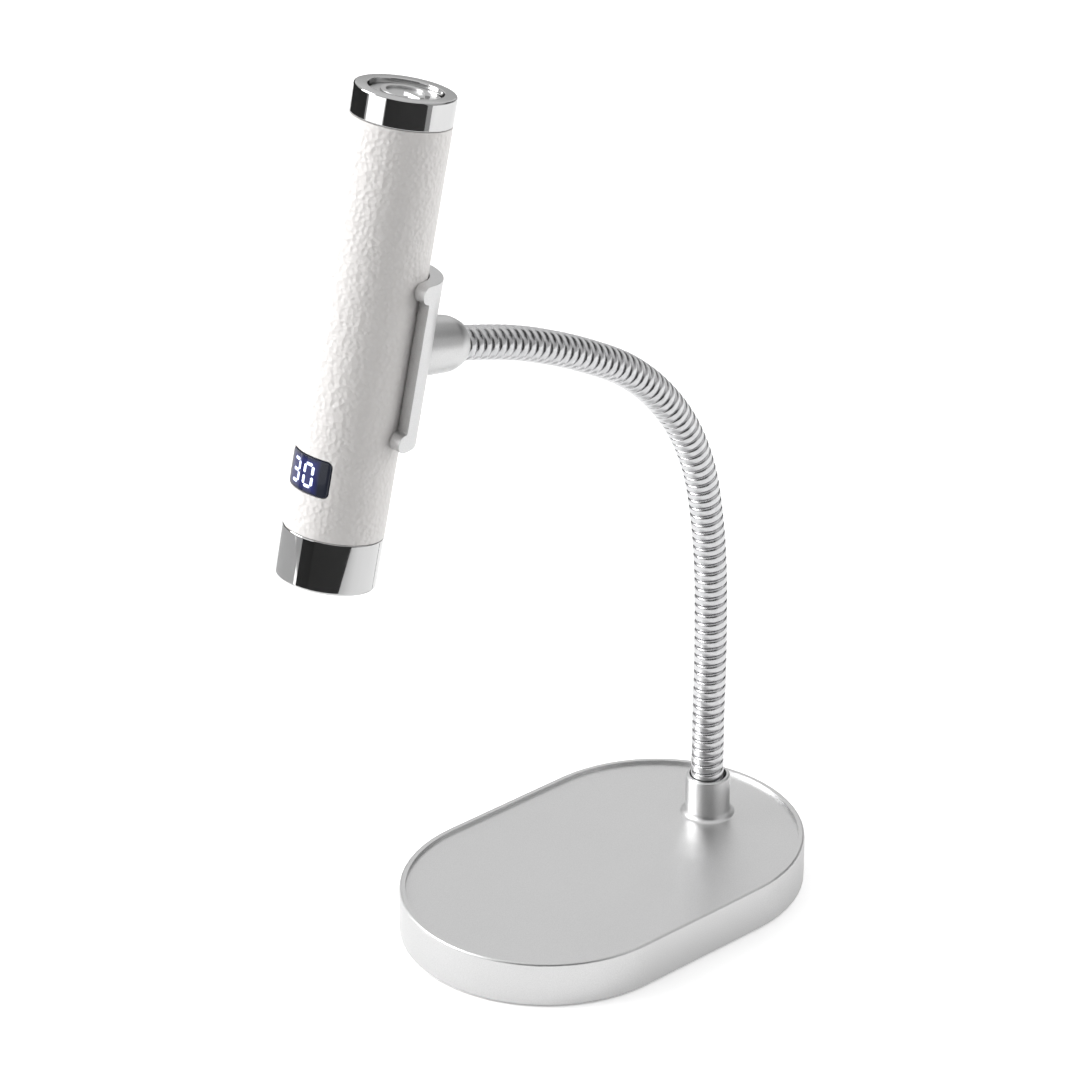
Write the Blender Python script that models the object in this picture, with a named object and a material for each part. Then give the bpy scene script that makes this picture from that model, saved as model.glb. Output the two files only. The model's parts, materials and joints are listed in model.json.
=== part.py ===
"""UV curing lamp: a hand torch held by a magnetic cradle on a gooseneck stand.

Blender 4.5, metres, +Z up. The origin is the middle of the base's underside, +X runs along the base
towards the socket that holds the gooseneck, and the whole lamp stands in the XZ plane.
Lengths below are in millimetres and angles in degrees; `MM` turns them into metres.
"""

import math

import bmesh
import bpy
from mathutils import Matrix, Vector

MM = 0.001
GAP = 0.3  # clearance between pieces that rest on each other
ROUND_STEPS = 32  # facets of a large turned piece
SMALL_STEPS = 16  # facets of a screw, a post or a neck link

# Base
BASE_LENGTH, BASE_WIDTH, BASE_HEIGHT = 110.2, 72.3, 12.1
BASE_SKIRT = 0.35  # height of the shell's lower edge above the table
RIM_WIDTH, RECESS_DEPTH = 1.5, 0.8
END_STEPS = 32  # facets of each half-round end of the base
SHELL_WALL, SHELL_ROOF = 2.2, 1.8
PAD_THICKNESS, PLATE_THICKNESS, WEIGHT_THICKNESS = 1.0, 1.4, 4.6
SCREW_X, SCREW_Y = 30.0, 22.0
POST_RADIUS, POST_HOLE = 3.0, 1.2

# Socket and gooseneck
SOCKET_X = 35.5
SOCKET_RADIUS, SOCKET_TOP = 5.6, 22.2
SOCKET_BORE, SOCKET_FLOOR = 4.65, 12.4
STUD_RADIUS, NUT_RADIUS, NUT_HEIGHT = 2.6, 5.0, 2.4
NECK_RADIUS = 4.1
NECK_ROUTE = (  # centreline in the XZ plane, from inside the socket to inside the boss
    (35.2, 13.0), (35.2, 34.0), (35.5, 64.0), (33.8, 93.0), (26.9, 118.6),
    (9.6, 140.6), (-17.2, 156.6), (-42.8, 166.6), (-50.39, 168.39),
)
NECK_IN_BOSS = 3.4
LINKS = 13
RIDGE_PITCH, RIDGES_PER_LINK = 2.38, 6
LINK_GAP, LINK_CHAMFER, LINK_FACE = 0.6, 1.0, 2.6

# Torch: its own frame has +Z from head to tail and +X towards the cradle
TORCH_FOOT = (-86.6, 121.2)  # X and Z of the head's lower end
TORCH_TILT = 13.07
TORCH_LENGTH, CAP_RADIUS, BARREL_RADIUS, BARREL_WALL = 115.0, 11.6, 11.6, 1.9
HEAD_CAP_HEIGHT, TAIL_CAP_HEIGHT = 12.3, 6.7
BARREL_BORE = BARREL_RADIUS - BARREL_WALL
WINDOW_Z, WINDOW_HEIGHT, WINDOW_HALF_WIDTH, WINDOW_CORNER = 26.6, 8.8, 6.6, 1.3
PORT_Z, PORT_LENGTH, PORT_WIDTH = 97.0, 8.9, 3.2
BUTTON_RADIUS, BUTTON_BORE = 8.2, 8.5

# Cradle, in the torch's frame
CRADLE_Z, CRADLE_SHIFT, CRADLE_LENGTH = 54.15, 0.25, 39.0  # the plate's middle is above the boss
CRADLE_INNER, CRADLE_OUTER = 11.95, 15.1
CRADLE_FRONT, EAR_FRONT, EAR_LENGTH = 3.75, 1.3, 4.3
CRADLE_SCREW_END = 19.0
MAGNET_RADIUS, MAGNET_SPACING, MAGNET_FACE = 4.0, 22.0, 12.0
BOSS_FOOT, BOSS_RADIUS, BOSS_END, BOSS_MOUTH = 7.1, 6.6, 28.0, 5.0
BOSS_STUD_LOW = CRADLE_SCREW_END + 0.5

MATERIALS = {  # colour, metallic, roughness
    "satin_silver": ((0.66, 0.67, 0.67), 0.85, 0.38),
    "chrome": ((0.80, 0.80, 0.80), 1.0, 0.07),
    "neck_steel": ((0.72, 0.72, 0.72), 1.0, 0.22),
    "white_grain": ((0.86, 0.84, 0.82), 0.0, 0.55),
    "window_black": ((0.02, 0.02, 0.03), 0.0, 0.08),
    "display": ((0.08, 0.08, 0.30), 0.0, 0.4),
    "clear": ((0.85, 0.88, 0.92), 0.0, 0.05),
    "reflector": ((0.85, 0.85, 0.87), 1.0, 0.12),
    "led": ((0.75, 0.70, 0.35), 0.0, 0.4),
    "circuit": ((0.03, 0.20, 0.08), 0.0, 0.5),
    "aluminium": ((0.75, 0.75, 0.77), 1.0, 0.35),
    "steel": ((0.55, 0.55, 0.56), 1.0, 0.35),
    "magnet": ((0.62, 0.62, 0.64), 1.0, 0.18),
    "battery": ((0.05, 0.25, 0.55), 0.0, 0.4),
    "black_plastic": ((0.03, 0.03, 0.03), 0.0, 0.5),
    "rubber": ((0.04, 0.04, 0.04), 0.0, 0.9),
    "brass": ((0.75, 0.58, 0.25), 1.0, 0.3),
}


def clear_scene():
    for obj in list(bpy.data.objects):
        bpy.data.objects.remove(obj)


def material(name):
    found = bpy.data.materials.get(name)
    if found:
        return found
    colour, metallic, roughness = MATERIALS[name]
    made = bpy.data.materials.new(name)
    made.use_nodes = True
    shader = made.node_tree.nodes["Principled BSDF"]
    shader.inputs["Base Color"].default_value = (*colour, 1.0)
    shader.inputs["Metallic"].default_value = metallic
    shader.inputs["Roughness"].default_value = roughness
    made.diffuse_color = (*colour, 1.0)
    return made


def frame(name, place, parent=None):
    """An empty that carries a group of pieces."""
    empty = bpy.data.objects.new(name, None)
    bpy.context.scene.collection.objects.link(empty)
    empty.parent = parent
    empty.matrix_local = place
    return empty


def finish(bm, name, finish_name, parent=None):
    """Turns a bmesh in millimetres into an object with its material."""
    bmesh.ops.remove_doubles(bm, verts=bm.verts, dist=1e-4)
    bmesh.ops.recalc_face_normals(bm, faces=bm.faces)
    bmesh.ops.scale(bm, vec=(MM, MM, MM), verts=bm.verts)
    mesh = bpy.data.meshes.new(name)
    bm.to_mesh(mesh)
    bm.free()
    mesh.shade_smooth()
    mesh.set_sharp_from_angle(angle=math.radians(35))
    obj = bpy.data.objects.new(name, mesh)
    bpy.context.scene.collection.objects.link(obj)
    obj.parent = parent
    obj.data.materials.append(material(finish_name))
    return obj


def turned(profile, steps=ROUND_STEPS):
    """A solid of revolution about Z from (radius, height) points; a profile off the axis is closed to a ring."""
    bm = bmesh.new()
    verts = [bm.verts.new((r, 0, z)) for r, z in profile]
    edges = [bm.edges.new(pair) for pair in zip(verts, verts[1:])]
    if profile[0][0] > 0 or profile[-1][0] > 0:
        edges.append(bm.edges.new((verts[-1], verts[0])))
    bmesh.ops.spin(bm, geom=verts + edges, cent=(0, 0, 0), axis=(0, 0, 1), angle=2 * math.pi,
                   steps=steps, use_merge=True)
    bmesh.ops.remove_doubles(bm, verts=bm.verts, dist=1e-4)
    return bm


def prism(outline, low, high):
    """An outline in the XY plane, extruded along Z from low to high."""
    bm = bmesh.new()
    face = bm.faces.new([bm.verts.new((x, y, low)) for x, y in outline])
    extruded = bmesh.ops.extrude_face_region(bm, geom=[face])["geom"]
    lifted = [v for v in extruded if isinstance(v, bmesh.types.BMVert)]
    bmesh.ops.translate(bm, vec=(0, 0, high - low), verts=lifted)
    return bm


def arc(centre, radius, start, end, steps):
    """Points of an arc from start to end degrees, both ends included."""
    angles = (math.radians(start + (end - start) * i / steps) for i in range(steps + 1))
    return [(centre[0] + radius * math.cos(a), centre[1] + radius * math.sin(a)) for a in angles]


def stadium(length, width, steps=END_STEPS):
    """Outline of a strip with half-round ends, centred on the origin."""
    reach = (length - width) / 2
    return (arc((reach, 0), width / 2, -90, 90, steps)
            + arc((-reach, 0), width / 2, 90, 270, steps))


def rounded_rectangle(width, height, radius, steps=4):
    x, y = width / 2 - radius, height / 2 - radius
    corners = ((x, -y, -90), (x, y, 0), (-x, y, 90), (-x, -y, 180))
    return [p for cx, cy, a in corners for p in arc((cx, cy), radius, a, a + 90, steps)]


def aim(axis):
    """Rotation that carries +Z onto an axis."""
    return Vector((0, 0, 1)).rotation_difference(Vector(axis)).to_matrix().to_4x4()


def placed(bm, at=(0, 0, 0), axis=(0, 0, 1)):
    bm.transform(Matrix.Translation(at) @ aim(axis))
    return bm


def merged(parts):
    """Several separate solids as one bmesh, for a single cut or join."""
    whole = bmesh.new()
    for part in parts:
        mesh = bpy.data.meshes.new("part")
        part.to_mesh(mesh)
        part.free()
        whole.from_mesh(mesh)
        bpy.data.meshes.remove(mesh)
    return whole


def boolean(obj, operation, other):
    """Cuts, joins or intersects with a helper that isn't part of the lamp."""
    other.hide_render = True
    other.display_type = "WIRE"
    modifier = obj.modifiers.new(other.name, "BOOLEAN")
    modifier.operation = operation
    modifier.object = other
    modifier.solver = "EXACT"


def cylinder(radius, low, high, steps=SMALL_STEPS):
    return turned([(0, low), (radius, low), (radius, high), (0, high)], steps)


def tube(inner, outer, low, high, steps=ROUND_STEPS):
    return turned([(inner, low), (outer, low), (outer, high), (inner, high)], steps)


# ---------------------------------------------------------------- base

def base_floor():
    return BASE_HEIGHT - RECESS_DEPTH


def screw_places():
    return [(sx * SCREW_X, sy * SCREW_Y) for sx in (1, -1) for sy in (1, -1)]


def socket():
    """The post that holds the gooseneck, with a fillet at its foot, a rounded lip and a stepped bore."""
    floor, foot, lip, stud_bore = base_floor() - 0.05, 1.7, 0.7, STUD_RADIUS + GAP
    fillet = arc((SOCKET_RADIUS + foot, floor + foot), foot, 270, 180, 5)
    rounded = arc((SOCKET_RADIUS - lip, SOCKET_TOP - lip), lip, 0, 90, 3)
    profile = [(stud_bore, floor - 1.0), (SOCKET_RADIUS + foot, floor - 1.0), *fillet, *rounded,
               (SOCKET_BORE, SOCKET_TOP), (SOCKET_BORE, SOCKET_FLOOR), (stud_bore, SOCKET_FLOOR)]
    return placed(turned(profile), (SOCKET_X, 0, 0))


def screw_post(x, y):
    """Round post under the shell's roof with a blind hole for a screw."""
    low, high, hole = plate_top() + GAP, base_floor() - SHELL_ROOF, POST_HOLE + GAP
    profile = [(0, high + 0.8), (POST_RADIUS, high + 0.8), (POST_RADIUS, low), (hole, low),
               (hole, high - 0.4), (0, high - 0.4)]
    return placed(turned(profile, SMALL_STEPS), (x, y, 0))


def base_shell():
    """The cast shell: rim, sunk top, hollow underneath, screw posts and the gooseneck's socket."""
    edge = 0.7
    bm = bmesh.new()
    levels = [(0.3, BASE_SKIRT), (0.0, BASE_SKIRT + 0.3)]
    levels += [(edge - x, BASE_HEIGHT - edge + y) for x, y in arc((0, 0), edge, 0, 90, 4)]
    rings = []
    for inset, z in levels:
        outline = stadium(BASE_LENGTH - 2 * inset, BASE_WIDTH - 2 * inset)
        rings.append([bm.verts.new((x, y, z)) for x, y in outline])
    for low, high in zip(rings, rings[1:]):
        for i in range(len(low)):
            j = (i + 1) % len(low)
            bm.faces.new((low[i], low[j], high[j], high[i]))
    bm.faces.new(rings[0])
    bm.faces.new(rings[-1])
    shell = finish(bm, "base_shell", "satin_silver")
    inner = (BASE_LENGTH - 2 * RIM_WIDTH, BASE_WIDTH - 2 * RIM_WIDTH)
    hollow = (BASE_LENGTH - 2 * SHELL_WALL, BASE_WIDTH - 2 * SHELL_WALL)
    roof = base_floor() - SHELL_ROOF
    boolean(shell, "DIFFERENCE", finish(prism(stadium(*inner), base_floor(), BASE_HEIGHT + 2), "cut_recess", "steel"))
    boolean(shell, "DIFFERENCE", finish(prism(stadium(*hollow), -1, roof), "cut_hollow", "steel"))
    posts = merged(screw_post(x, y) for x, y in screw_places())
    boolean(shell, "UNION", finish(posts, "add_posts", "steel"))
    stud_hole = placed(cylinder(STUD_RADIUS + 1.4, 0, BASE_HEIGHT, ROUND_STEPS), (SOCKET_X, 0, 0))
    boolean(shell, "DIFFERENCE", finish(stud_hole, "cut_stud", "steel"))
    boolean(shell, "UNION", finish(socket(), "add_socket", "steel"))


def plate_top():
    return PAD_THICKNESS + GAP + PLATE_THICKNESS


def base_inside():
    """Pad, closing plate, weight and the fasteners under the shell."""
    inset = 2 * (SHELL_WALL + GAP)
    size = (BASE_LENGTH - inset, BASE_WIDTH - inset)
    finish(prism(stadium(*size), 0, PAD_THICKNESS), "anti_slip_pad", "rubber")
    plate = finish(prism(stadium(*size), PAD_THICKNESS + GAP, plate_top()), "bottom_plate", "steel")
    weight_low = plate_top() + GAP
    weight_size = (size[0] - 1.5, size[1] - 1.5)
    weight = finish(prism(stadium(*weight_size), weight_low, weight_low + WEIGHT_THICKNESS), "weight_plate", "steel")
    rooms = [placed(cylinder(NUT_RADIUS + 1.2, 0, 12), (SOCKET_X, 0, 0))]
    rooms += [placed(cylinder(POST_RADIUS + 0.8, 0, 12), (x, y, 0)) for x, y in screw_places()]
    boolean(weight, "DIFFERENCE", finish(merged(rooms), "cut_weight_rooms", "steel"))
    sink = [(0, 0), (2.9, 0), (2.9, PAD_THICKNESS + GAP + 0.5), (1.6, plate_top() + 0.4), (0, plate_top() + 0.4)]
    sinks = merged(placed(turned(sink, SMALL_STEPS), (x, y, 0)) for x, y in screw_places())
    boolean(plate, "DIFFERENCE", finish(sinks, "cut_screw_sinks", "steel"))
    for number, (x, y) in enumerate(screw_places(), 1):
        base_screw(number, x, y)
    roof = base_floor() - SHELL_ROOF
    washer = tube(STUD_RADIUS + GAP, NUT_RADIUS, roof - GAP - 0.6, roof - GAP, SMALL_STEPS)
    finish(placed(washer, (SOCKET_X, 0, 0)), "neck_washer", "steel")
    nut_top = roof - 2 * GAP - 0.6
    hexagon = [(NUT_RADIUS * x, NUT_RADIUS * y) for x, y in arc((0, 0), 1, 0, 300, 5)]
    nut = finish(placed(prism(hexagon, nut_top - NUT_HEIGHT, nut_top), (SOCKET_X, 0, 0)), "neck_nut", "steel")
    thread = placed(cylinder(STUD_RADIUS + GAP, 0, 12), (SOCKET_X, 0, 0))
    boolean(nut, "DIFFERENCE", finish(thread, "cut_nut_thread", "steel"))
    stud = placed(cylinder(STUD_RADIUS, 3.6, NECK_ROUTE[0][1] - GAP), (SOCKET_X, 0, 0))
    finish(stud, "neck_base_stud", "brass")


def base_screw(number, x, y):
    """Countersunk screw from below, through the plate into its post."""
    head = PAD_THICKNESS + GAP + 0.05
    profile = [(0, head), (2.5, head), (2.5, head + 0.3), (POST_HOLE, head + 1.5), (POST_HOLE, head + 5.6), (0, head + 5.6)]
    finish(placed(turned(profile, SMALL_STEPS), (x, y, 0)), f"base_screw_{number}", "steel")


# ---------------------------------------------------------------- gooseneck

def route(samples=60):
    """Dense centreline points of a Catmull-Rom curve through NECK_ROUTE, as (x, z) with arc lengths."""
    points = [Vector(p) for p in NECK_ROUTE]
    points = [2 * points[0] - points[1], *points, 2 * points[-1] - points[-2]]
    dense = []
    for a, b, c, d in zip(points, points[1:], points[2:], points[3:]):
        for i in range(samples):
            t = i / samples
            dense.append(0.5 * (2 * b + (c - a) * t + (2 * a - 5 * b + 4 * c - d) * t ** 2
                                + (3 * b - a - 3 * c + d) * t ** 3))
    dense.append(points[-2])
    lengths = [0.0]
    for p, q in zip(dense, dense[1:]):
        lengths.append(lengths[-1] + (q - p).length)
    return dense, lengths


def along(dense, lengths, s):
    """Point and unit tangent at arc length s."""
    i = next((k for k in range(1, len(lengths)) if lengths[k] >= s), len(lengths) - 1)
    span = lengths[i] - lengths[i - 1]
    t = (s - lengths[i - 1]) / span
    point = dense[i - 1].lerp(dense[i], t)
    tangent = (dense[i] - dense[i - 1]).normalized()
    return point, tangent


def hinge_lengths(lengths):
    """Arc lengths of the twelve places where the neck is free to bend, centred on the neck's visible run."""
    visible = SOCKET_TOP - NECK_ROUTE[0][1]
    hidden = lengths[-1] - NECK_IN_BOSS
    step = RIDGE_PITCH * RIDGES_PER_LINK
    first = (visible + hidden - step * (LINKS - 2)) / 2
    return [first + step * k for k in range(LINKS - 1)]


def neck_links():
    """Each link is a short tube along the centreline with chamfered ends, so that it can tilt on the next."""
    dense, lengths = route()
    hinges = hinge_lengths(lengths)
    bounds = [0.0, *hinges, lengths[-1]]
    for number, (low, high) in enumerate(zip(bounds, bounds[1:]), 1):
        low += LINK_GAP / 2 if number > 1 else 0
        high -= LINK_GAP / 2 if number < LINKS else 0
        middle = [low + LINK_CHAMFER + (high - low - 2 * LINK_CHAMFER) * k / 4 for k in range(5)]
        stations = [(low, LINK_FACE), *((s, NECK_RADIUS - 0.05) for s in middle), (high, LINK_FACE)]
        bm = bmesh.new()
        rings = []
        for s, radius in stations:
            point, tangent = along(dense, lengths, s)
            normal = Vector((-tangent.y, tangent.x))
            ring = []
            for u, v in arc((0, 0), radius, 0, 360 - 360 / SMALL_STEPS, SMALL_STEPS - 1):
                ring.append(bm.verts.new((point.x + u * normal.x, v, point.y + u * normal.y)))
            rings.append(ring)
        for a, b in zip(rings, rings[1:]):
            for i in range(SMALL_STEPS):
                j = (i + 1) % SMALL_STEPS
                bm.faces.new((a[i], a[j], b[j], b[i]))
        bm.faces.new(rings[0])
        bm.faces.new(rings[-1])
        finish(bm, f"neck_link_{number:02d}", "neck_steel")


# ---------------------------------------------------------------- cradle

def cradle(holder):
    """Half-pipe cradle with longer ears at its ends, two magnets and the screw that holds the boss."""
    middle = CRADLE_Z + CRADLE_SHIFT
    low, high = middle - CRADLE_LENGTH / 2, middle + CRADLE_LENGTH / 2
    outer = math.degrees(math.acos(EAR_FRONT / CRADLE_OUTER))
    inner = math.degrees(math.acos(EAR_FRONT / CRADLE_INNER))
    section = arc((0, 0), CRADLE_OUTER, -outer, outer, 20) + arc((0, 0), CRADLE_INNER, inner, -inner, 20)
    body = finish(prism(section, low, high), "cradle", "satin_silver", holder)
    bulb = EAR_LENGTH / 2
    front = EAR_FRONT + bulb
    side = [(20, low - 1), (20, high + 1), (front, high + 1), *arc((front, high - bulb), bulb, 90, 270, 10),
            (CRADLE_FRONT, high - EAR_LENGTH - 0.3), (CRADLE_FRONT, low + EAR_LENGTH + 0.3),
            *arc((front, low + bulb), bulb, 90, 270, 10), (front, low - 1)]
    profile = finish(placed_side(side, 20), "keep_cradle_side", "steel", holder)
    boolean(body, "INTERSECT", profile)
    pocket = (CRADLE_INNER - 1.5, MAGNET_FACE + 1.9 + GAP)
    for i, z in enumerate((CRADLE_Z - MAGNET_SPACING / 2, CRADLE_Z + MAGNET_SPACING / 2), 1):
        cut = placed(cylinder(MAGNET_RADIUS + GAP, *pocket, 24), (0, 0, z), (1, 0, 0))
        boolean(body, "DIFFERENCE", finish(cut, f"cut_magnet_{i}", "steel", holder))
        magnet = placed(cylinder(MAGNET_RADIUS, MAGNET_FACE, MAGNET_FACE + 1.9, 24), (0, 0, z), (1, 0, 0))
        finish(magnet, f"cradle_magnet_{i}", "magnet", holder)
    sink = turned([(0, 8), (3.0, 8), (3.0, MAGNET_FACE + 0.9), (1.8, MAGNET_FACE + 2.2), (1.8, 17), (0, 17)], SMALL_STEPS)
    boolean(body, "DIFFERENCE", finish(placed(sink, (0, 0, CRADLE_Z), (1, 0, 0)), "cut_cradle_screw", "steel", holder))
    screw = turned([(0, MAGNET_FACE), (2.6, MAGNET_FACE), (2.6, MAGNET_FACE + 0.6), (1.4, MAGNET_FACE + 1.9),
                    (1.4, CRADLE_SCREW_END), (0, CRADLE_SCREW_END)], SMALL_STEPS)
    finish(placed(screw, (0, 0, CRADLE_Z), (1, 0, 0)), "cradle_screw", "steel", holder)


def placed_side(outline, half_width):
    """A prism whose outline is in the frame's XZ plane."""
    bm = prism(outline, -half_width, half_width)
    bm.transform(Matrix.Rotation(math.radians(90), 4, "X"))
    return bm


def boss(holder):
    """Turned boss behind the cradle that takes the gooseneck's end, with its stud and grub screw."""
    stud_bore, neck_bore = STUD_RADIUS + GAP, NECK_RADIUS + GAP
    stud_high, grub_x = BOSS_END - NECK_IN_BOSS - GAP, BOSS_STUD_LOW + 2.3
    rounded = [(BOSS_RADIUS + 0.2, 20.0), (BOSS_RADIUS, BOSS_END - 4.0), (BOSS_RADIUS - 0.25, BOSS_END - 2.6),
               (BOSS_RADIUS - 0.8, BOSS_END - 1.2), (BOSS_MOUTH + 0.3, BOSS_END - 0.2)]
    profile = [(1.7, 12.5), (BOSS_FOOT, 12.5), *rounded, (BOSS_MOUTH, BOSS_END), (neck_bore, BOSS_END),
               (neck_bore, stud_high), (stud_bore, stud_high), (stud_bore, BOSS_STUD_LOW), (1.7, BOSS_STUD_LOW)]
    body = finish(placed(turned(profile), (0, 0, CRADLE_Z), (1, 0, 0)), "neck_boss", "satin_silver", holder)
    seat = finish(cylinder(CRADLE_OUTER + GAP, CRADLE_Z - 12, CRADLE_Z + 12, 64), "cut_boss_seat", "steel", holder)
    boolean(body, "DIFFERENCE", seat)
    stud = cylinder(STUD_RADIUS, BOSS_STUD_LOW + GAP, stud_high)
    finish(placed(stud, (0, 0, CRADLE_Z), (1, 0, 0)), "neck_end_stud", "brass", holder)
    grub_hole = placed(cylinder(1.3, -8, -1, 12), (grub_x, 0, CRADLE_Z))
    boolean(body, "DIFFERENCE", finish(grub_hole, "cut_grub", "steel", holder))
    grub = cylinder(1.0, -BOSS_RADIUS + 0.3, -STUD_RADIUS - GAP, 12)
    finish(placed(grub, (grub_x, 0, CRADLE_Z)), "boss_grub_screw", "steel", holder)


# ---------------------------------------------------------------- torch

def front_prism(outline, low, high):
    """A prism along the torch's -X side, its outline in (across, along the torch)."""
    bm = prism(outline, low, high)
    turn = Matrix(((0, 0, -1, 0), (1, 0, 0, 0), (0, 1, 0, 0), (0, 0, 0, 1)))
    bm.transform(turn)
    bmesh.ops.translate(bm, vec=(0, 0, WINDOW_Z), verts=bm.verts)
    return bm


def window_outline(inset):
    return rounded_rectangle(2 * (WINDOW_HALF_WIDTH - inset), WINDOW_HEIGHT - 2 * inset, WINDOW_CORNER - inset)


def barrel(torch):
    low, high = HEAD_CAP_HEIGHT + GAP, TORCH_LENGTH - TAIL_CAP_HEIGHT - GAP
    body = finish(tube(BARREL_BORE, BARREL_RADIUS, low, high, 48), "barrel", "white_grain", torch)
    boolean(body, "DIFFERENCE", finish(front_prism(window_outline(0), 4.5, 14), "cut_window", "steel", torch))
    slot = stadium(PORT_LENGTH + 0.7, PORT_WIDTH + 0.7, 6)
    boolean(body, "DIFFERENCE", finish(side_prism(slot, 7, 14), "cut_port", "steel", torch))
    lens = finish(tube(BARREL_BORE + 0.5, BARREL_RADIUS + 0.1, WINDOW_Z - 8, WINDOW_Z + 8, 48), "display_window",
                  "window_black", torch)
    boolean(lens, "INTERSECT", finish(front_prism(window_outline(GAP), 4.5, 14), "keep_window", "steel", torch))
    finish(tube(8.7, 9.3, 42.0, 89.0), "steel_liner", "steel", torch)


def side_prism(outline, low, high):
    """A prism along the torch's +Y side, its outline in (along the torch, across)."""
    bm = prism(outline, low, high)
    turn = Matrix(((0, 1, 0, 0), (0, 0, 1, 0), (1, 0, 0, 0), (0, 0, 0, 1)))
    bm.transform(turn)
    bmesh.ops.translate(bm, vec=(0, 0, PORT_Z), verts=bm.verts)
    return bm


def electronics(torch):
    finish(front_prism(rounded_rectangle(10.8, 7.6, 0.4, 2), 4.4, 7.8), "display_module", "display", torch)
    board = front_prism(rounded_rectangle(16.0, 18.0, 0.6, 2), 2.6, 4.1)
    bmesh.ops.translate(board, vec=(0, 0, 2.0), verts=board.verts)
    finish(board, "control_board", "circuit", torch)
    battery = turned([(0, 39.5), (7.0, 39.5), (7.0, 86.8), (2.8, 86.8), (2.8, 88.2), (0, 88.2)])
    finish(battery, "battery", "battery", torch)
    charge = prism([(2.0, -7.5), (3.2, -7.5), (3.2, 8.2), (2.0, 8.2)], 90.0, 103.0)
    finish(charge, "charge_board", "circuit", torch)
    port = finish(side_prism(stadium(PORT_LENGTH, PORT_WIDTH, 6), 3.9, 10.9), "charge_port", "aluminium", torch)
    hollow = side_prism(stadium(PORT_LENGTH - 0.7, PORT_WIDTH - 0.7, 6), 5.0, 12)
    boolean(port, "DIFFERENCE", finish(hollow, "cut_port_mouth", "steel", torch))
    tongue = side_prism(rounded_rectangle(6.6, 0.7, 0.2, 1), 4.4, 9.8)
    boolean(port, "UNION", finish(tongue, "add_port_tongue", "steel", torch))


def head(torch):
    cap = [(9.2, 0.5), (9.5, 0.0), (CAP_RADIUS - 0.8, 0.0), (CAP_RADIUS - 0.25, 0.25), (CAP_RADIUS, 0.8),
           (CAP_RADIUS, HEAD_CAP_HEIGHT - 0.2), (CAP_RADIUS - 0.2, HEAD_CAP_HEIGHT), (10.0, HEAD_CAP_HEIGHT),
           (10.0, 2.2), (9.2, 2.2)]
    finish(turned(cap, 48), "head_cap", "chrome", torch)
    finish(turned([(0, 2.2), (6.0, 2.3), (9.0, 2.5), (9.7, 2.5), (9.7, 4.3), (0, 4.3)]), "front_lens", "clear", torch)
    finish(tube(8.7, 9.7, 4.6, 5.4), "lens_seal", "rubber", torch)
    cone = [(8.5, 5.7), (9.6, 5.7), (9.6, 6.3), (3.6, 10.0), (2.6, 10.0), (4.2, 8.4), (6.6, 6.9)]
    finish(turned(cone), "reflector", "reflector", torch)
    chip = prism(rounded_rectangle(3.4, 3.4, 0.3, 2), 8.9, 10.2)
    finish(chip, "uv_led", "led", torch)
    finish(cylinder(9.0, 10.5, 11.9, 24), "led_board", "circuit", torch)
    slug = [(0, 12.2), (9.2, 12.2), (9.2, 14.4), (7.6, 14.4), (7.6, 15.2), (9.2, 15.2), (9.2, 16.6), (0, 16.6)]
    finish(turned(slug), "heat_sink", "aluminium", torch)


def tail(torch):
    low, lip = TORCH_LENGTH - TAIL_CAP_HEIGHT, TORCH_LENGTH - 2.4
    cap = [(9.7, low), (CAP_RADIUS - 0.2, low), (CAP_RADIUS, low + 0.2), (CAP_RADIUS, TORCH_LENGTH - 0.6),
           (CAP_RADIUS - 0.2, TORCH_LENGTH - 0.15), (CAP_RADIUS - 0.6, TORCH_LENGTH), (BUTTON_BORE + 0.2, TORCH_LENGTH),
           (BUTTON_BORE, TORCH_LENGTH - 0.2), (BUTTON_BORE, lip), (9.7, lip)]
    finish(turned(cap, 48), "tail_cap", "chrome", torch)
    top, flange = TORCH_LENGTH - 1.2, lip - GAP
    button = [(0, flange - 1.9), (2.0, flange - 1.9), (2.0, flange - 1.0), (9.2, flange - 1.0), (9.2, flange),
              (BUTTON_RADIUS, flange), (BUTTON_RADIUS, top - 0.2), (BUTTON_RADIUS - 0.2, top), (0, top)]
    finish(turned(button), "power_button", "chrome", torch)
    finish(cylinder(9.2, 104.6, 105.8, 24), "switch_board", "circuit", torch)
    finish(prism(rounded_rectangle(6.0, 6.0, 0.4, 2), 106.1, 109.2), "tact_switch", "black_plastic", torch)


def main():
    clear_scene()
    base_shell()
    base_inside()
    neck_links()
    tilt = Matrix.Rotation(math.radians(TORCH_TILT), 4, "Y")
    foot = Matrix.Translation(Vector((TORCH_FOOT[0], 0, TORCH_FOOT[1])) * MM)
    holder = frame("holder_frame", foot @ tilt)
    cradle(holder)
    boss(holder)
    torch = frame("torch_frame", Matrix.Identity(4), holder)
    barrel(torch)
    electronics(torch)
    head(torch)
    tail(torch)


main()
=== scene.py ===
"""Looks of the UV curing lamp on its CAD model: winding, finishes, symbols, camera and light."""

import bisect
import json
import math

import bmesh
import bpy
from mathutils import Matrix, Vector

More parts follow.
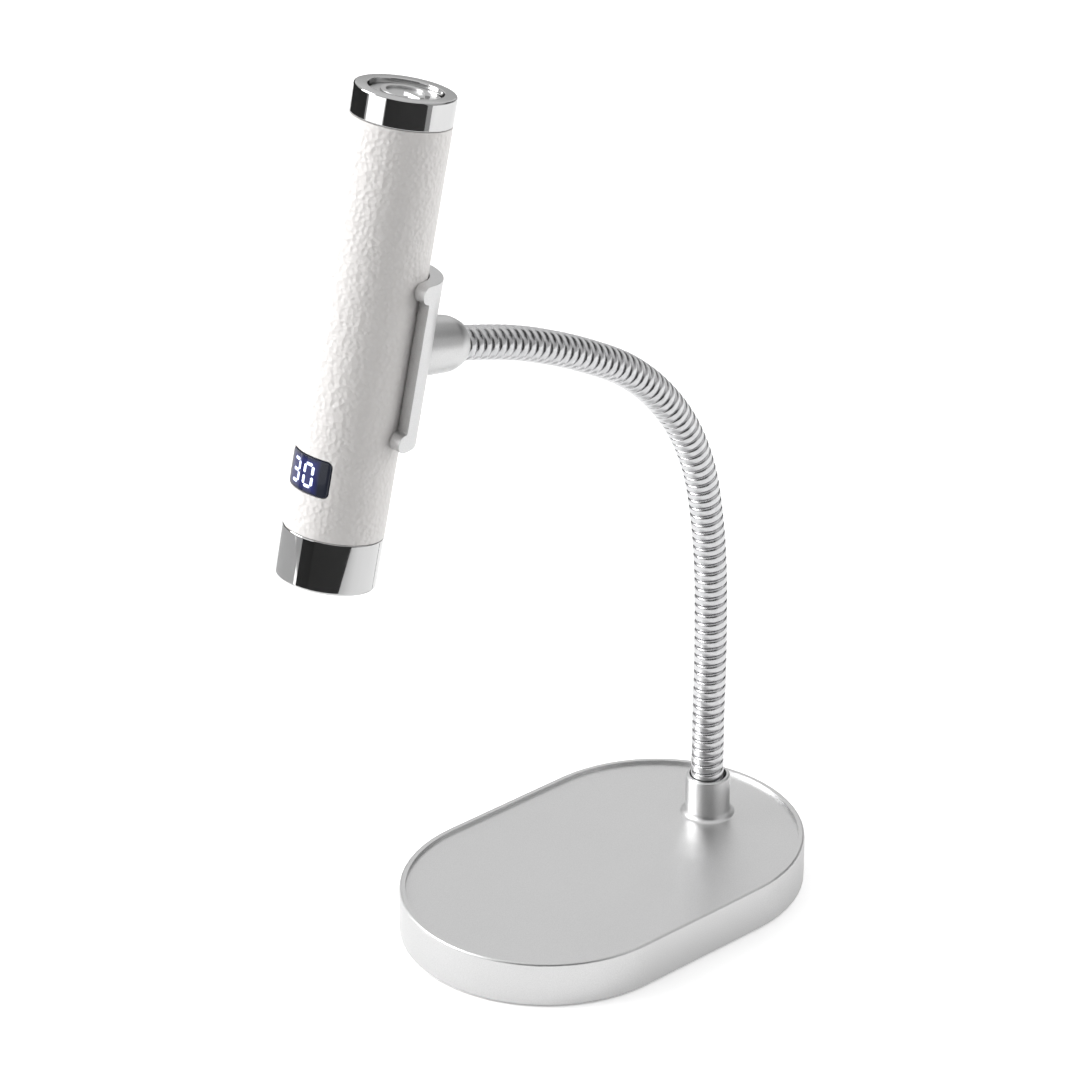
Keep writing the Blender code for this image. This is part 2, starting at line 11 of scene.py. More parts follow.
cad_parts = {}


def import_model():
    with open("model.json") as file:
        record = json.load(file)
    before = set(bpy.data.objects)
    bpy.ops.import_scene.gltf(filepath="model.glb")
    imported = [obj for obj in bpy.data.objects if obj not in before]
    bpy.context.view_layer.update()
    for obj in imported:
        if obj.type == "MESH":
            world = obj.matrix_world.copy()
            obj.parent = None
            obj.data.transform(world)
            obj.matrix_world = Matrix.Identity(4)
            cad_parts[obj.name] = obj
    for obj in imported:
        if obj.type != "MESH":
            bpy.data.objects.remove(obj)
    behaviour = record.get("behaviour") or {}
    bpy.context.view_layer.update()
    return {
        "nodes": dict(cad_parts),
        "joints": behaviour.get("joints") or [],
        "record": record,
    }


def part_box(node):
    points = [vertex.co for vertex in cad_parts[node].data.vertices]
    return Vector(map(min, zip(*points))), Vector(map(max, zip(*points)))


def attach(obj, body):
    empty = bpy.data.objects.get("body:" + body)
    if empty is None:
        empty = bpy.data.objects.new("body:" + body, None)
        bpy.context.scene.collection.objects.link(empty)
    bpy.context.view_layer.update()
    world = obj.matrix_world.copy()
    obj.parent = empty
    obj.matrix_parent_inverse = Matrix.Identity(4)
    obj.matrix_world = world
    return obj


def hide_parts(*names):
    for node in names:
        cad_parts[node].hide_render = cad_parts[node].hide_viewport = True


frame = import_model()
NODES = frame["nodes"]
JOINTS = {joint["name"]: joint for joint in frame["joints"]}
NECK_JOINTS = [joint for joint in frame["joints"] if joint["name"].startswith("neck_")]
MM = 0.001

# Camera: places in metres, lens and sensor in millimetres
CAMERA_PLACE = Vector((-0.6959, -0.7453, 0.6357))
CAMERA_TARGET = Vector((-0.0212, 0.0, 0.1080))
CAMERA_LENS = 161.07
CAMERA_SENSOR = 36.0

# Stage, in metres
LIGHTS_AIM = Vector((-0.03, 0, 0.11))
FLOOR_RADIUS = 0.95
FLOOR_GLOW = 0.30  # keeps the floor near white to the camera without lighting the lamp
CARD_SPANS = 24  # flat spans in one curved card

# Gooseneck, in millimetres
RIDGE_PITCH = 2.38
RIDGE_WIDTH = 2.26
RIDGE_TOP = 4.12
RIDGE_CROWN = 0.08  # how much lower the flattened dome is at its sides than at its middle
RIDGE_SHOULDER = 0.50  # how much further its rounded shoulders drop
SHOULDER_POWER = 7  # higher keeps the shoulders nearer the ridge's sides
# places across a ridge, in half widths
RIDGE_PLACES = (-1, -0.95, -0.85, -0.65, -0.35, 0, 0.35, 0.65, 0.85, 0.95, 1)
STEPS_PER_TURN = 40
CORE_RADIUS = 3.40
CORE_SIDES = 24
CORE_STEP = 1.2
CORE_LAP = 0.5  # the core pieces lap at each hinge, so that a bend shows no gap
FOOT_SINK = 0.1  # how far the ridges' feet stand in the core
NECK_MARGIN = 2  # bare length at both ends of the neck, inside the socket and the boss
LINK_STEPS = 40  # steps of the centreline from one hinge to the next
TIP_DEPTH = 0.5  # depth of the band of points that count as the neck's far end

# Display, in millimetres on the torch's surface
WINDOW_RADIUS = 11.70
DISPLAY_Z = 26.6
GLOW_ACROSS = 5.2
GLOW_ALONG = 4.2
DIGIT_HEIGHT = 5.1
DIGIT_WIDTH = 2.4
DIGIT_PITCH = 4.3
DIGITS_MIDDLE = 0.85
DIGIT_PROUD = 0.03
DIGIT_DEPTH = 0.25
SEGMENT_WIDTH = 0.72
SEGMENT_GAP = 0.12
SEGMENT_TIP = 0.7  # length of a segment's pointed tip, in half segment widths
SEGMENTS = {"3": "abgcd", "0": "abcdef"}

# Power symbol on the button, in millimetres and degrees
SYMBOL_RADIUS = 5.0
SYMBOL_LINE = 1.3
SYMBOL_PROUD = 0.60
SYMBOL_SINK = 0.2
SYMBOL_EDGE = 0.12
SYMBOL_TURN = -90
SYMBOL_GAP = 70
SYMBOL_STEPS = 48
BAR_START = 0.2
BAR_PAST_RING = 0.6

# Edges: angles in degrees, lengths in millimetres
SHARP_ANGLE = 40
FLAT_ANGLE = 0.6  # CAD faces that turn by less are merged before their edges are softened
BARREL_REACH = 0.2  # how far the barrel's ends come closer to the caps than in the CAD
BARREL_END = 0.1  # depth of the band of points that count as one end of the barrel

# CAD nodes shown with softened edges: bevel width in millimetres, material slot
SOFTENED = {
    "base_shell": (0.35, "satin_silver"),
    "cradle": (0.55, "satin_silver"),
    "neck_boss": (0.25, "satin_silver"),
    "barrel": (0.12, "white_grain"),
    "display_window": (0.30, "window_black"),
    "head_cap": (0.12, "chrome"),
    "tail_cap": (0.12, "chrome"),
    "power_button": (0.15, "chrome"),
}


# ---------------------------------------------------------------- helpers

def new_object(name, bm):
    """An object made of a bmesh, smooth apart from its sharp edges."""
    mesh = bpy.data.meshes.new(name)
    bmesh.ops.recalc_face_normals(bm, faces=bm.faces)
    bm.to_mesh(mesh)
    bm.free()
    mesh.shade_smooth()
    mesh.set_sharp_from_angle(angle=math.radians(SHARP_ANGLE))
    obj = bpy.data.objects.new(name, mesh)
    bpy.context.scene.collection.objects.link(obj)
    return obj


def add_skin(bm, rings):
    """Adds a closed skin over rings of points, which all have the same number of points."""
    rings = [[bm.verts.new(point) for point in ring] for ring in rings]
    for a, b in zip(rings, rings[1:]):
        for i in range(len(a)):
            j = (i + 1) % len(a)
            bm.faces.new((a[i], a[j], b[j], b[i]))
    bm.faces.new(rings[0])
    bm.faces.new(rings[-1])


def soften(obj, width):
    """Small bevels on an object's sharp edges, with normals that keep its flat faces flat."""
    bevel = obj.modifiers.new("soft_edges", "BEVEL")
    bevel.width = width * MM
    bevel.segments = 3
    bevel.limit_method = "ANGLE"
    bevel.angle_limit = math.radians(SHARP_ANGLE)
    bevel.use_clamp_overlap = True
    normals = obj.modifiers.new("flat_faces", "WEIGHTED_NORMAL")
    normals.keep_sharp = True


def body_of_node(name):
    return next(body for body, nodes in frame["record"]["behaviour"]["bodies"].items() if name in nodes)


def torch_frame():
    """Matrix of the torch.

    +Z runs from its head to its tail and +X towards the cradle; the origin is at the head's lower end.
    """
    axis = -Vector(JOINTS["button_press"]["axis"]).normalized()
    back = -Vector(JOINTS["torch_release"]["axis"]).normalized()
    points = [v.co for v in NODES["head_cap"].data.vertices]
    lowest = min(p.dot(axis) for p in points)
    middle = (min(p.dot(back) for p in points) + max(p.dot(back) for p in points)) / 2
    place = axis * lowest + back * middle
    turn = Matrix((back, axis.cross(back), axis)).transposed().to_4x4()
    return Matrix.Translation(place) @ turn


TORCH = torch_frame()
TO_TORCH = TORCH.inverted()
TORCH_AXIS = TORCH.to_3x3() @ Vector((0, 0, 1))


def close_gaps(bm):
    """Lengthens the barrel at both ends, so that its joints with the caps show as fine lines."""
    heights = [(TO_TORCH @ v.co).z for v in bm.verts]
    low, high = min(heights), max(heights)
    for vert, height in zip(bm.verts, heights):
        if height < low + BARREL_END * MM:
            vert.co -= TORCH_AXIS * BARREL_REACH * MM
        elif height > high - BARREL_END * MM:
            vert.co += TORCH_AXIS * BARREL_REACH * MM


def show_softened(name, width):
    """Shows a copy of a CAD node with softened edges in its place."""
    node = NODES[name]
    bm = bmesh.new()
    bm.from_mesh(node.data)
    bmesh.ops.remove_doubles(bm, verts=bm.verts, dist=1e-6)
    if name == "barrel":
        close_gaps(bm)
    bmesh.ops.dissolve_limit(bm, angle_limit=math.radians(FLAT_ANGLE), verts=bm.verts, edges=bm.edges)
    piece = new_object(name + "_smooth", bm)
    piece.data.materials.append(node.data.materials[0])
    soften(piece, width)
    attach(piece, body_of_node(name))
    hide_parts(name)


class Finish:
    """A node material that starts from a Principled shader."""

    def __init__(self, name, **values):
        self.material = bpy.data.materials.new(name)
        self.material.use_nodes = True
        self.tree = self.material.node_tree
        self.shader = self.tree.nodes["Principled BSDF"]
        self.set(self.shader, values)

    def set(self, node, values):
        """Links or sets a node's inputs, given by name with underscores or by number."""
        for key, value in values.items():
            socket = node.inputs[key.replace("_", " ")] if isinstance(key, str) else node.inputs[key]
            if isinstance(value, bpy.types.NodeSocket):
                self.tree.links.new(value, socket)
            elif isinstance(value, tuple) and socket.type == "RGBA":
                socket.default_value = (*value, 1.0)
            else:
                socket.default_value = value

    def node(self, kind, settings=None, inputs=None):
        node = self.tree.nodes.new(kind)
        for key, value in (settings or {}).items():
            setattr(node, key, value)
        self.set(node, inputs or {})
        return node

    def place(self):
        """Position in metres, in the frame the piece was made in."""
        return self.node("ShaderNodeTexCoord").outputs["Object"]

    def noise(self, scale, detail=2.0, output="Fac"):
        values = {"Vector": self.place(), "Scale": scale, "Detail": detail}
        return self.node("ShaderNodeTexNoise", None, values).outputs[output]

    def ramp(self, factor, *stops):
        """Colour ramp with (position, colour or grey) stops."""
        made = self.node("ShaderNodeValToRGB", None, {"Fac": factor})
        elements = made.color_ramp.elements
        while len(elements) < len(stops):
            elements.new(0.5)
        for element, (position, colour) in zip(elements, stops):
            element.position = position
            element.color = (*colour, 1.0) if isinstance(colour, tuple) else (colour, colour, colour, 1.0)
        return made.outputs["Color"]

    def math(self, operation, a, b=0.0):
        return self.node("ShaderNodeMath", {"operation": operation}, {0: a, 1: b}).outputs[0]

    def bump(self, height, distance, strength):
        values = {"Height": height, "Distance": distance, "Strength": strength}
        return self.node("ShaderNodeBump", None, values).outputs["Normal"]

    def shade(self, **values):
        """Sets or links the shader's own inputs and gives the finished material."""
        self.set(self.shader, values)
        return self.material


def paint(material, *nodes):
    """Gives CAD nodes a better finish."""
    for name in nodes:
        NODES[name].data.materials.clear()
        NODES[name].data.materials.append(material)


# ---------------------------------------------------------------- finishes

def satin_silver():
    """Fine metallic paint: a sparkle of flakes, and roughness that varies a little."""
    f = Finish("satin_silver_paint", Metallic=1.0)
    flakes = f.noise(5200.0, 1.0)
    cloud = f.noise(60.0, 3.0)
    colour = f.ramp(flakes, (0.3, (0.69, 0.69, 0.69)), (0.7, (0.77, 0.77, 0.77)))
    rough = f.ramp(cloud, (0.3, 0.36), (0.7, 0.42))
    return f.shade(Base_Color=colour, Roughness=rough, Normal=f.bump(flakes, 0.00002, 0.35))


def chrome(name, roughness):
    """Polished plating with a very faint haze."""
    f = Finish(name, Metallic=1.0, Base_Color=(0.64, 0.64, 0.64))
    haze = f.noise(220.0, 3.0)
    return f.shade(Roughness=f.ramp(haze, (0.35, roughness), (0.75, roughness + 0.035)))


def neck_steel():
    """Polished winding with faint drawing marks."""
    f = Finish("polished_winding", Metallic=1.0)
    marks = f.noise(900.0, 3.0)
    colour = f.ramp(marks, (0.3, (0.62, 0.62, 0.63)), (0.7, (0.72, 0.72, 0.73)))
    rough = f.ramp(marks, (0.3, 0.20), (0.7, 0.27))
    return f.shade(Base_Color=colour, Roughness=rough)


def neck_core():
    """Near-black core under the winding: its dark colour is painted shade for the grooves between the
    ridges.
    """
    f = Finish("painted_groove_shade", Metallic=1.0)
    return f.shade(Base_Color=f.ramp(f.noise(1200.0), (0.3, 0.05), (0.7, 0.09)), Roughness=0.5)


def grained_white():
    """Warm white coating with a soft pebbled grain, whose cells are bent by a noise."""
    f = Finish("grained_white", Coat_Weight=0.05, Coat_Roughness=0.4)
    warp = f.noise(420.0, output="Color")
    bent = f.node("ShaderNodeVectorMath", {"operation": "SCALE"}, {0: warp, 3: 0.0008}).outputs[0]
    place = f.node("ShaderNodeVectorMath", {"operation": "ADD"}, {0: f.place(), 1: bent}).outputs[0]
    cells = f.node("ShaderNodeTexVoronoi", {"feature": "SMOOTH_F1"},
                   {"Vector": place, "Scale": 900.0, "Smoothness": 0.5}).outputs["Distance"]
    coarse = f.noise(360.0, 3.0)
    height = f.math("ADD", f.math("MULTIPLY", cells, 0.7), f.math("MULTIPLY", coarse, 0.5))
    colour = f.ramp(cells, (0.0, (0.80, 0.782, 0.768)), (0.9, (0.77, 0.748, 0.732)))
    return f.shade(Base_Color=colour, Roughness=f.ramp(coarse, (0.3, 0.45), (0.7, 0.58)),
                   Normal=f.bump(height, 0.00030, 1.0))


def display_glass():
    """Dark tinted window, glossy, with a blue glow behind the digits."""
    f = Finish("display_glass", Coat_Weight=1.0, Coat_Roughness=0.03, Roughness=0.12)
    local = f.node("ShaderNodeMapping", {"vector_type": "POINT"},
                   {"Vector": f.place(), "Rotation": TO_TORCH.to_euler(), "Location": TO_TORCH.translation})
    axes = f.node("ShaderNodeSeparateXYZ", None, {0: local.outputs[0]})
    across = f.math("ABSOLUTE", f.math("SUBTRACT", axes.outputs[1], DIGITS_MIDDLE * MM))
    along = f.math("ABSOLUTE", f.math("SUBTRACT", axes.outputs[2], DISPLAY_Z * MM))
    far = f.math("MAXIMUM", f.math("DIVIDE", across, GLOW_ACROSS * MM),
                 f.math("DIVIDE", along, GLOW_ALONG * MM))
    glow = f.ramp(far, (0.72, (0.022, 0.026, 0.15)), (1.0, (0.010, 0.012, 0.018)))
    base = f.ramp(f.noise(400.0), (0.3, (0.008, 0.009, 0.014)), (0.7, (0.012, 0.013, 0.020)))
    return f.shade(Base_Color=base, Emission_Color=glow, Emission_Strength=1.0)


def glowing_digit():
    """Blue-white light of the digits."""
    f = Finish("glowing_digit", Roughness=0.4)
    glow = f.ramp(f.noise(900.0), (0.3, (0.56, 0.64, 1.0)), (0.7, (0.76, 0.82, 1.0)))
    return f.shade(Base_Color=(0.7, 0.75, 1.0), Emission_Color=glow, Emission_Strength=1.15)


def rubber():
    """Black foam rubber."""
    f = Finish("foam_rubber")
    grain = f.noise(3000.0, 3.0)
    return f.shade(Base_Color=f.ramp(grain, (0.3, 0.018), (0.7, 0.04)), Roughness=0.85,
                   Normal=f.bump(grain, 0.00008, 0.6))


def clear_lens():
    """Clear glass of the front lens."""
    f = Finish("clear_lens", Transmission_Weight=1.0, IOR=1.46, Base_Color=(0.97, 0.98, 1.0))
    return f.shade(Roughness=f.ramp(f.noise(300.0), (0.3, 0.02), (0.7, 0.05)))


def inner(name, low, high, metallic, roughness):
    """A finish for a hidden piece: two close colours mottled together."""
    f = Finish(name, Metallic=metallic)
    grain = f.noise(1500.0, 3.0)
    return f.shade(Base_Color=f.ramp(grain, (0.3, low), (0.7, high)),
                   Roughness=f.ramp(grain, (0.3, roughness), (0.7, roughness + 0.08)))


def paint_outside():
    paint(satin_silver(), "base_shell", "cradle", "neck_boss")
    paint(chrome("chrome_caps", 0.035), "head_cap", "tail_cap")
    paint(chrome("chrome_button", 0.33), "power_button")
    paint(grained_white(), "barrel")
    paint(display_glass(), "display_window")
    paint(rubber(), "anti_slip_pad", "lens_seal")
    paint(clear_lens(), "front_lens")


def paint_inside():
    base_screws = [f"base_screw_{number}" for number in range(1, 5)]
    paint(inner("zinc_steel", (0.50, 0.50, 0.52), (0.62, 0.62, 0.64), 1.0, 0.32),
          "weight_plate", "bottom_plate", "neck_washer", "neck_nut", "steel_liner", "cradle_screw",
          "boss_grub_screw", *base_screws)
    paint(inner("nickel_magnet", (0.60, 0.60, 0.62), (0.72, 0.72, 0.74), 1.0, 0.14),
          "cradle_magnet_1", "cradle_magnet_2")
    paint(inner("turned_brass", (0.62, 0.46, 0.20), (0.72, 0.55, 0.25), 1.0, 0.28),
          "neck_base_stud", "neck_end_stud")
    paint(inner("bare_aluminium", (0.66, 0.66, 0.68), (0.76, 0.76, 0.78), 1.0, 0.30),
          "charge_port", "heat_sink")
    paint(inner("solder_mask", (0.015, 0.12, 0.045), (0.025, 0.18, 0.07), 0.0, 0.35),
          "control_board", "charge_board", "led_board", "switch_board")
    paint(inner("cell_sleeve", (0.03, 0.14, 0.36), (0.04, 0.18, 0.44), 0.0, 0.38), "battery")
    paint(inner("black_moulding", (0.015, 0.015, 0.016), (0.03, 0.03, 0.031), 0.0, 0.45), "tact_switch")
    paint(inner("display_body", (0.02, 0.02, 0.08), (0.03, 0.03, 0.12), 0.0, 0.40), "display_module")
    paint(inner("metallised_cone", (0.80, 0.80, 0.82), (0.88, 0.88, 0.90), 1.0, 0.10), "reflector")
    paint(inner("led_phosphor", (0.62, 0.52, 0.10), (0.76, 0.66, 0.18), 0.0, 0.40), "uv_led")


# ---------------------------------------------------------------- gooseneck

def end_of_neck():
    """Middle of the last link's far end, inside the boss."""
    out = Vector(JOINTS["torch_release"]["axis"])
    points = [v.co for v in NODES["neck_link_13"].data.vertices]
    reach = max(p.dot(out) for p in points)
    tip = [p for p in points if p.dot(out) > reach - TIP_DEPTH * MM]
    return Vector([(min(p[i] for p in tip) + max(p[i] for p in tip)) / 2 for i in range(3)])


def between(a, b, c, d, t):
    """Point at a share t of the way from b to c, on the smooth curve through a, b, c and d."""
    return 0.5 * (2 * b + (c - a) * t + (2 * a - 5 * b + 4 * c - d) * t ** 2
                  + (3 * b - a - 3 * c + d) * t ** 3)


class Route:
    """Smooth centreline through the neck's hinges, measured by length in metres."""

    def __init__(self):
        low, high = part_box("neck_link_01")
        start = Vector(((low.x + high.x) / 2, 0, low.z))
        knots = [start, *[Vector(joint["pos_m"]) for joint in NECK_JOINTS], end_of_neck()]
        knots = [2 * knots[0] - knots[1], *knots, 2 * knots[-1] - knots[-2]]
        self.points = []
        for a, b, c, d in zip(knots, knots[1:], knots[2:], knots[3:]):
            self.points += [between(a, b, c, d, i / LINK_STEPS) for i in range(LINK_STEPS)]
        self.points.append(knots[-2])
        self.lengths = [0.0]
        for p, q in zip(self.points, self.points[1:]):
            self.lengths.append(self.lengths[-1] + (q - p).length)
        self.hinges = self.lengths[LINK_STEPS:-1:LINK_STEPS]
        self.total = self.lengths[-1]

    def at(self, s):
        """Point and in-plane normal at a length along the neck."""
        s = min(max(s, 1e-6), self.total - 1e-6)
        high = bisect.bisect_left(self.lengths, s)
        low = high - 1
        a, b = self.points[low], self.points[high]
        t = (s - self.lengths[low]) / (self.lengths[high] - self.lengths[low])
        tangent = (b - a).normalized()
        return a.lerp(b, t), Vector((-tangent.z, 0, tangent.x))

    def ring_point(self, s, radius, angle):
        """Point at an angle round the neck, at a length along it."""
        centre, normal = self.at(s)
        return centre + radius * (math.cos(angle) * normal + math.sin(angle) * Vector((0, -1, 0)))


def ridge_section():
    """Cross-section of the wound band as (along, radius) in metres: a flattened dome over a flat foot."""
    section = []
    for u in RIDGE_PLACES:
        drop = RIDGE_CROWN * u ** 2 + RIDGE_SHOULDER * abs(u) ** SHOULDER_POWER
        section.append((u * RIDGE_WIDTH / 2 * MM, (RIDGE_TOP - drop) * MM))
    foot = (CORE_RADIUS - FOOT_SINK) * MM
    return [*section, (RIDGE_WIDTH / 2 * MM, foot), (-RIDGE_WIDTH / 2 * MM, foot)]


def winding(route, name, low, high):
    """The band wound round the route between two lengths, its turns in step along the whole neck."""
    step_length = RIDGE_PITCH * MM / STEPS_PER_TURN
    section = ridge_section()
    rings = []
    for step in range(round(low / step_length), round(high / step_length) + 1):
        s = step * step_length
        angle = 2 * math.pi * step / STEPS_PER_TURN
        rings.append([route.ring_point(s + along, radius, angle) for along, radius in section])
    bm = bmesh.new()
    add_skin(bm, rings)
    return new_object(name, bm)


def core(route, name, low, high):
    """The inner core between two lengths; gooseneck() paints it near black as painted shade for the
    grooves.
    """
    count = max(2, round((high - low) / (CORE_STEP * MM)))
    angles = [2 * math.pi * i / CORE_SIDES for i in range(CORE_SIDES)]
    rings = []
    for k in range(count + 1):
        s = low + (high - low) * k / count
        rings.append([route.ring_point(s, CORE_RADIUS * MM, angle) for angle in angles])
    bm = bmesh.new()
    add_skin(bm, rings)
    return new_object(name, bm)


def gooseneck():
    """One winding and one core piece for each link, cut at the hinges; each rides on its link's body."""
    route = Route()
    steel = neck_steel()
    # the core's near-black finish is painted shade for the grooves between the ridges
    dark = neck_core()
    cuts = [NECK_MARGIN * MM, *route.hinges, route.total - NECK_MARGIN * MM]
    for number, (low, high) in enumerate(zip(cuts, cuts[1:]), 1):
        link = f"neck_link_{number:02d}"
        band = winding(route, f"neck_winding_{number:02d}", low, high)
        core_piece = core(route, f"neck_core_{number:02d}", low - CORE_LAP * MM, high + CORE_LAP * MM)
        for piece, material in ((band, steel), (core_piece, dark)):
            piece.data.materials.append(material)
            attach(piece, body_of_node(link))
            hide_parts(link)


# ---------------------------------------------------------------- torch details

def wrapped(across, along, proud):
    """A point on the torch's display side: across it, along it from the head, and proud of the window."""
    angle = across / WINDOW_RADIUS
    radius = WINDOW_RADIUS + proud
    return TORCH @ (Vector((-radius * math.cos(angle), radius * math.sin(angle), along)) * MM)


def segment_outline(letter):
    """Corner points of one display segment in a digit of DIGIT_WIDTH by DIGIT_HEIGHT, as (right, up)."""
    w, h, t = DIGIT_WIDTH / 2, DIGIT_HEIGHT / 2, SEGMENT_WIDTH / 2
    tip = t * SEGMENT_TIP
    lines = {"a": (-w, h, w, h), "g": (-w, 0, w, 0), "d": (-w, -h, w, -h),
             "f": (-w, 0, -w, h), "b": (w, 0, w, h), "e": (-w, -h, -w, 0), "c": (w, -h, w, 0)}
    x0, y0, x1, y1 = lines[letter]
    if y0 == y1:
        x0, x1 = x0 + t + SEGMENT_GAP, x1 - t - SEGMENT_GAP
        return [(x0 - tip, y0), (x0, y0 + t), (x1, y0 + t), (x1 + tip, y0), (x1, y0 - t), (x0, y0 - t)]
    y0, y1 = y0 + t + SEGMENT_GAP, y1 - t - SEGMENT_GAP
    return [(x0, y0 - tip), (x0 + t, y0), (x0 + t, y1), (x0, y1 + tip), (x0 - t, y1), (x0 - t, y0)]


def digits():
    """The glowing 30 of the timer, standing just proud of the window."""
    bm = bmesh.new()
    for place, digit in ((-0.5, "3"), (0.5, "0")):
        middle = DIGITS_MIDDLE - place * DIGIT_PITCH
        for letter in SEGMENTS[digit]:
            outline = segment_outline(letter)
            add_skin(bm, [[wrapped(middle - x, DISPLAY_Z + y, proud) for x, y in outline]
                          for proud in (-DIGIT_DEPTH, DIGIT_PROUD)])
    piece = new_object("timer_digits", bm)
    piece.data.materials.append(glowing_digit())
    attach(piece, "torch")


def symbol_ring():
    """Outline of the symbol's open ring, in the button's plane."""
    half = SYMBOL_LINE / 2
    first = SYMBOL_TURN + SYMBOL_GAP / 2
    angles = [math.radians(first + (360 - SYMBOL_GAP) * k / SYMBOL_STEPS) for k in range(SYMBOL_STEPS + 1)]
    sides = ((SYMBOL_RADIUS + half, angles), (SYMBOL_RADIUS - half, angles[::-1]))
    return [(radius * math.cos(angle), radius * math.sin(angle)) for radius, run in sides for angle in run]


def symbol_bar():
    """Outline of the symbol's bar, which stands in the ring's opening."""
    half = SYMBOL_LINE / 2
    end = SYMBOL_RADIUS + BAR_PAST_RING
    turn = Matrix.Rotation(math.radians(SYMBOL_TURN), 2)
    return [turn @ Vector(p) for p in ((BAR_START, -half), (end, -half), (end, half), (BAR_START, half))]


def power_symbol():
    """Raised power symbol on the button."""
    top = max((TO_TORCH @ v.co).z for v in NODES["power_button"].data.vertices) / MM
    low = top - SYMBOL_SINK
    lift = TORCH_AXIS * (SYMBOL_SINK + SYMBOL_PROUD) * MM
    bm = bmesh.new()
    for outline in (symbol_ring(), symbol_bar()):
        face = bm.faces.new([bm.verts.new(TORCH @ (Vector((x, y, low)) * MM)) for x, y in outline])
        raised = bmesh.ops.extrude_face_region(bm, geom=[face])["geom"]
        bmesh.ops.translate(bm, vec=lift, verts=[v for v in raised if isinstance(v, bmesh.types.BMVert)])
    piece = new_object("power_symbol", bm)
    soften(piece, SYMBOL_EDGE)
    piece.data.materials.append(NODES["power_button"].data.materials[0])
    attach(piece, "button")


# ---------------------------------------------------------------- stage

def stage_floor():
    """Pale round floor, with a little glow that only the camera sees."""
    bm = bmesh.new()
    bmesh.ops.create_circle(bm, cap_ends=True, segments=96, radius=FLOOR_RADIUS)
    floor = new_object("floor", bm)
    f = Finish("pale_floor", Roughness=0.7, Emission_Color=(1.0, 1.0, 1.0))
    seen = f.node("ShaderNodeLightPath").outputs["Is Camera Ray"]
    floor.data.materials.append(f.shade(Base_Color=f.ramp(f.noise(12.0, 3.0), (0.3, 0.90), (0.7, 0.92)),
                                        Emission_Strength=f.math("MULTIPLY", seen, FLOOR_GLOW)))


def card(name, start, end, radius, low, high, grey=0.02, shades=False):
    """Curved card round the lamp that shows in reflections but not to the camera.

    It shades matt pieces if asked. Azimuths are in degrees and lengths in metres.
    """
    bm = bmesh.new()
    columns = []
    for k in range(CARD_SPANS + 1):
        a = math.radians(start + (end - start) * k / CARD_SPANS)
        columns.append([bm.verts.new((radius * math.cos(a), radius * math.sin(a), z)) for z in (low, high)])
    for a, b in zip(columns, columns[1:]):
        bm.faces.new((a[0], b[0], b[1], a[1]))
    made = new_object(name, bm)
    f = Finish(name + "_card", Roughness=1.0)
    made.data.materials.append(f.shade(Base_Color=(grey, grey, grey)))
    for kind in ("camera", "shadow", "transmission", "volume_scatter"):
        setattr(made, "visible_" + kind, False)
    made.visible_diffuse = shades


def cards():
    """Dark cards for the dark bands in the chrome and the neck, and grey ones for the softer tones."""
    card("flag_camera_side", 188, 269, radius=0.40, low=0.0, high=0.45, grey=0.027, shades=True)
    card("flag_soft_edge", 269, 281, radius=0.40, low=0.0, high=0.45, grey=0.30)
    card("flag_far_left", 60, 145, radius=0.60, low=0.04, high=0.30)
    card("flag_low_front", 165, 189, radius=0.45, low=0.0, high=0.115)
    card("flag_low_left", 60, 162.5, radius=0.30, low=0.0, high=0.10, grey=0.52)
    card("flag_high_right", -32, 20, radius=0.60, low=0.23, high=0.54)


def light(name, azimuth, height, distance, width, tall, power, mirrored=True):
    """Soft rectangular light aimed at the lamp: azimuth in degrees, lengths in metres, power in watts."""
    data = bpy.data.lights.new(name, "AREA")
    data.shape = "RECTANGLE"
    data.size = width
    data.size_y = tall
    data.energy = power
    made = bpy.data.objects.new(name, data)
    a = math.radians(azimuth)
    made.location = (distance * math.cos(a), distance * math.sin(a), height)
    made.rotation_euler = (LIGHTS_AIM - made.location).to_track_quat("-Z", "Y").to_euler()
    made.visible_glossy = mirrored
    bpy.context.scene.collection.objects.link(made)


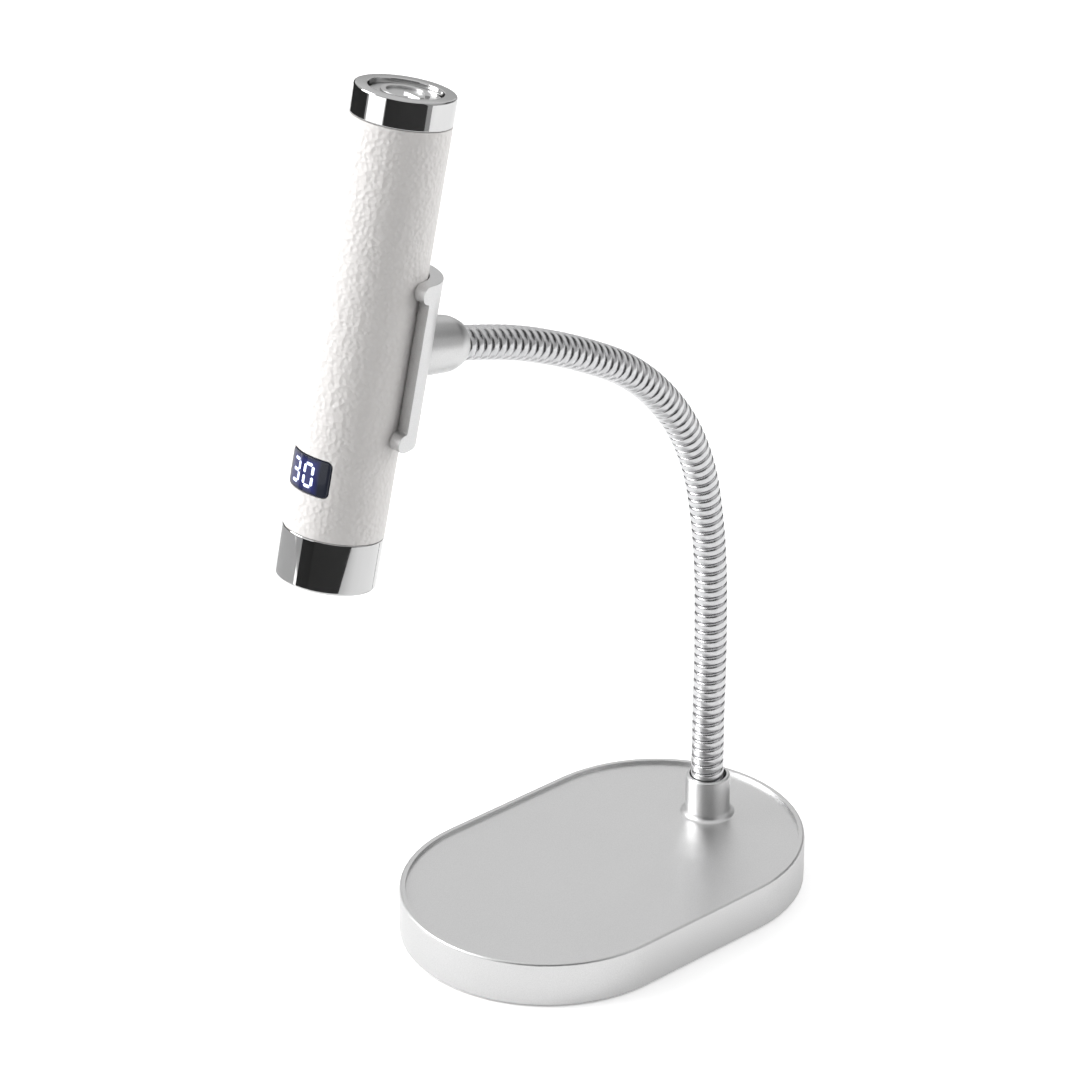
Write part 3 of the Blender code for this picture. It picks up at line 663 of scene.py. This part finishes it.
def lights():
    light("key", 135, height=0.62, distance=0.95, width=0.60, tall=0.55, power=9.0)
    light("low_soft", 167, height=0.36, distance=0.95, width=0.70, tall=0.46, power=1.5)
    light("right_fill", 325, height=0.40, distance=0.80, width=1.20, tall=0.80, power=3.9, mirrored=False)
    light("front_fill", 235, height=0.65, distance=0.90, width=1.20, tall=0.80, power=1.2, mirrored=False)
    light("back", 48, height=0.75, distance=1.20, width=1.30, tall=0.90, power=0.75)
    light("top", 60, height=1.30, distance=0.25, width=1.20, tall=1.20, power=2.2, mirrored=False)


def world():
    """White for the camera; for everything else a grey that grows lighter towards the zenith."""
    colour_a, colour_b, colour_out = 6, 7, 2  # a Mix node's colour sockets
    made = bpy.data.worlds.new("studio")
    bpy.context.scene.world = made
    made.use_nodes = True
    tree = made.node_tree
    background = tree.nodes["Background"]
    place = tree.nodes.new("ShaderNodeTexCoord")
    axes = tree.nodes.new("ShaderNodeSeparateXYZ")
    ramp = tree.nodes.new("ShaderNodeValToRGB")
    path = tree.nodes.new("ShaderNodeLightPath")
    mix = tree.nodes.new("ShaderNodeMix")
    mix.data_type = "RGBA"
    tree.links.new(place.outputs["Generated"], axes.inputs[0])
    tree.links.new(axes.outputs["Z"], ramp.inputs["Fac"])
    stops = ((0.0, 0.45), (0.40, 0.56), (0.80, 0.70), (1.0, 0.85))
    while len(ramp.color_ramp.elements) < len(stops):
        ramp.color_ramp.elements.new(0.5)
    for element, (position, grey) in zip(ramp.color_ramp.elements, stops):
        element.position = position
        element.color = (grey, grey, grey, 1)
    tree.links.new(path.outputs["Is Camera Ray"], mix.inputs["Factor"])
    tree.links.new(ramp.outputs["Color"], mix.inputs[colour_a])
    mix.inputs[colour_b].default_value = (1, 1, 1, 1)
    tree.links.new(mix.outputs[colour_out], background.inputs["Color"])


def camera():
    data = bpy.data.cameras.new("camera")
    data.lens = CAMERA_LENS
    data.sensor_width = CAMERA_SENSOR
    data.clip_start = 0.01
    data.clip_end = 20
    made = bpy.data.objects.new("camera", data)
    made.location = CAMERA_PLACE
    made.rotation_euler = (CAMERA_TARGET - CAMERA_PLACE).to_track_quat("-Z", "Y").to_euler()
    bpy.context.scene.collection.objects.link(made)
    bpy.context.scene.camera = made


def main():
    camera()
    world()
    stage_floor()
    lights()
    cards()
    bpy.context.scene.view_settings.view_transform = "Standard"
    paint_outside()
    paint_inside()
    for name, (width, slot_name) in SOFTENED.items():
        show_softened(name, width)
    gooseneck()
    digits()
    power_symbol()


main()
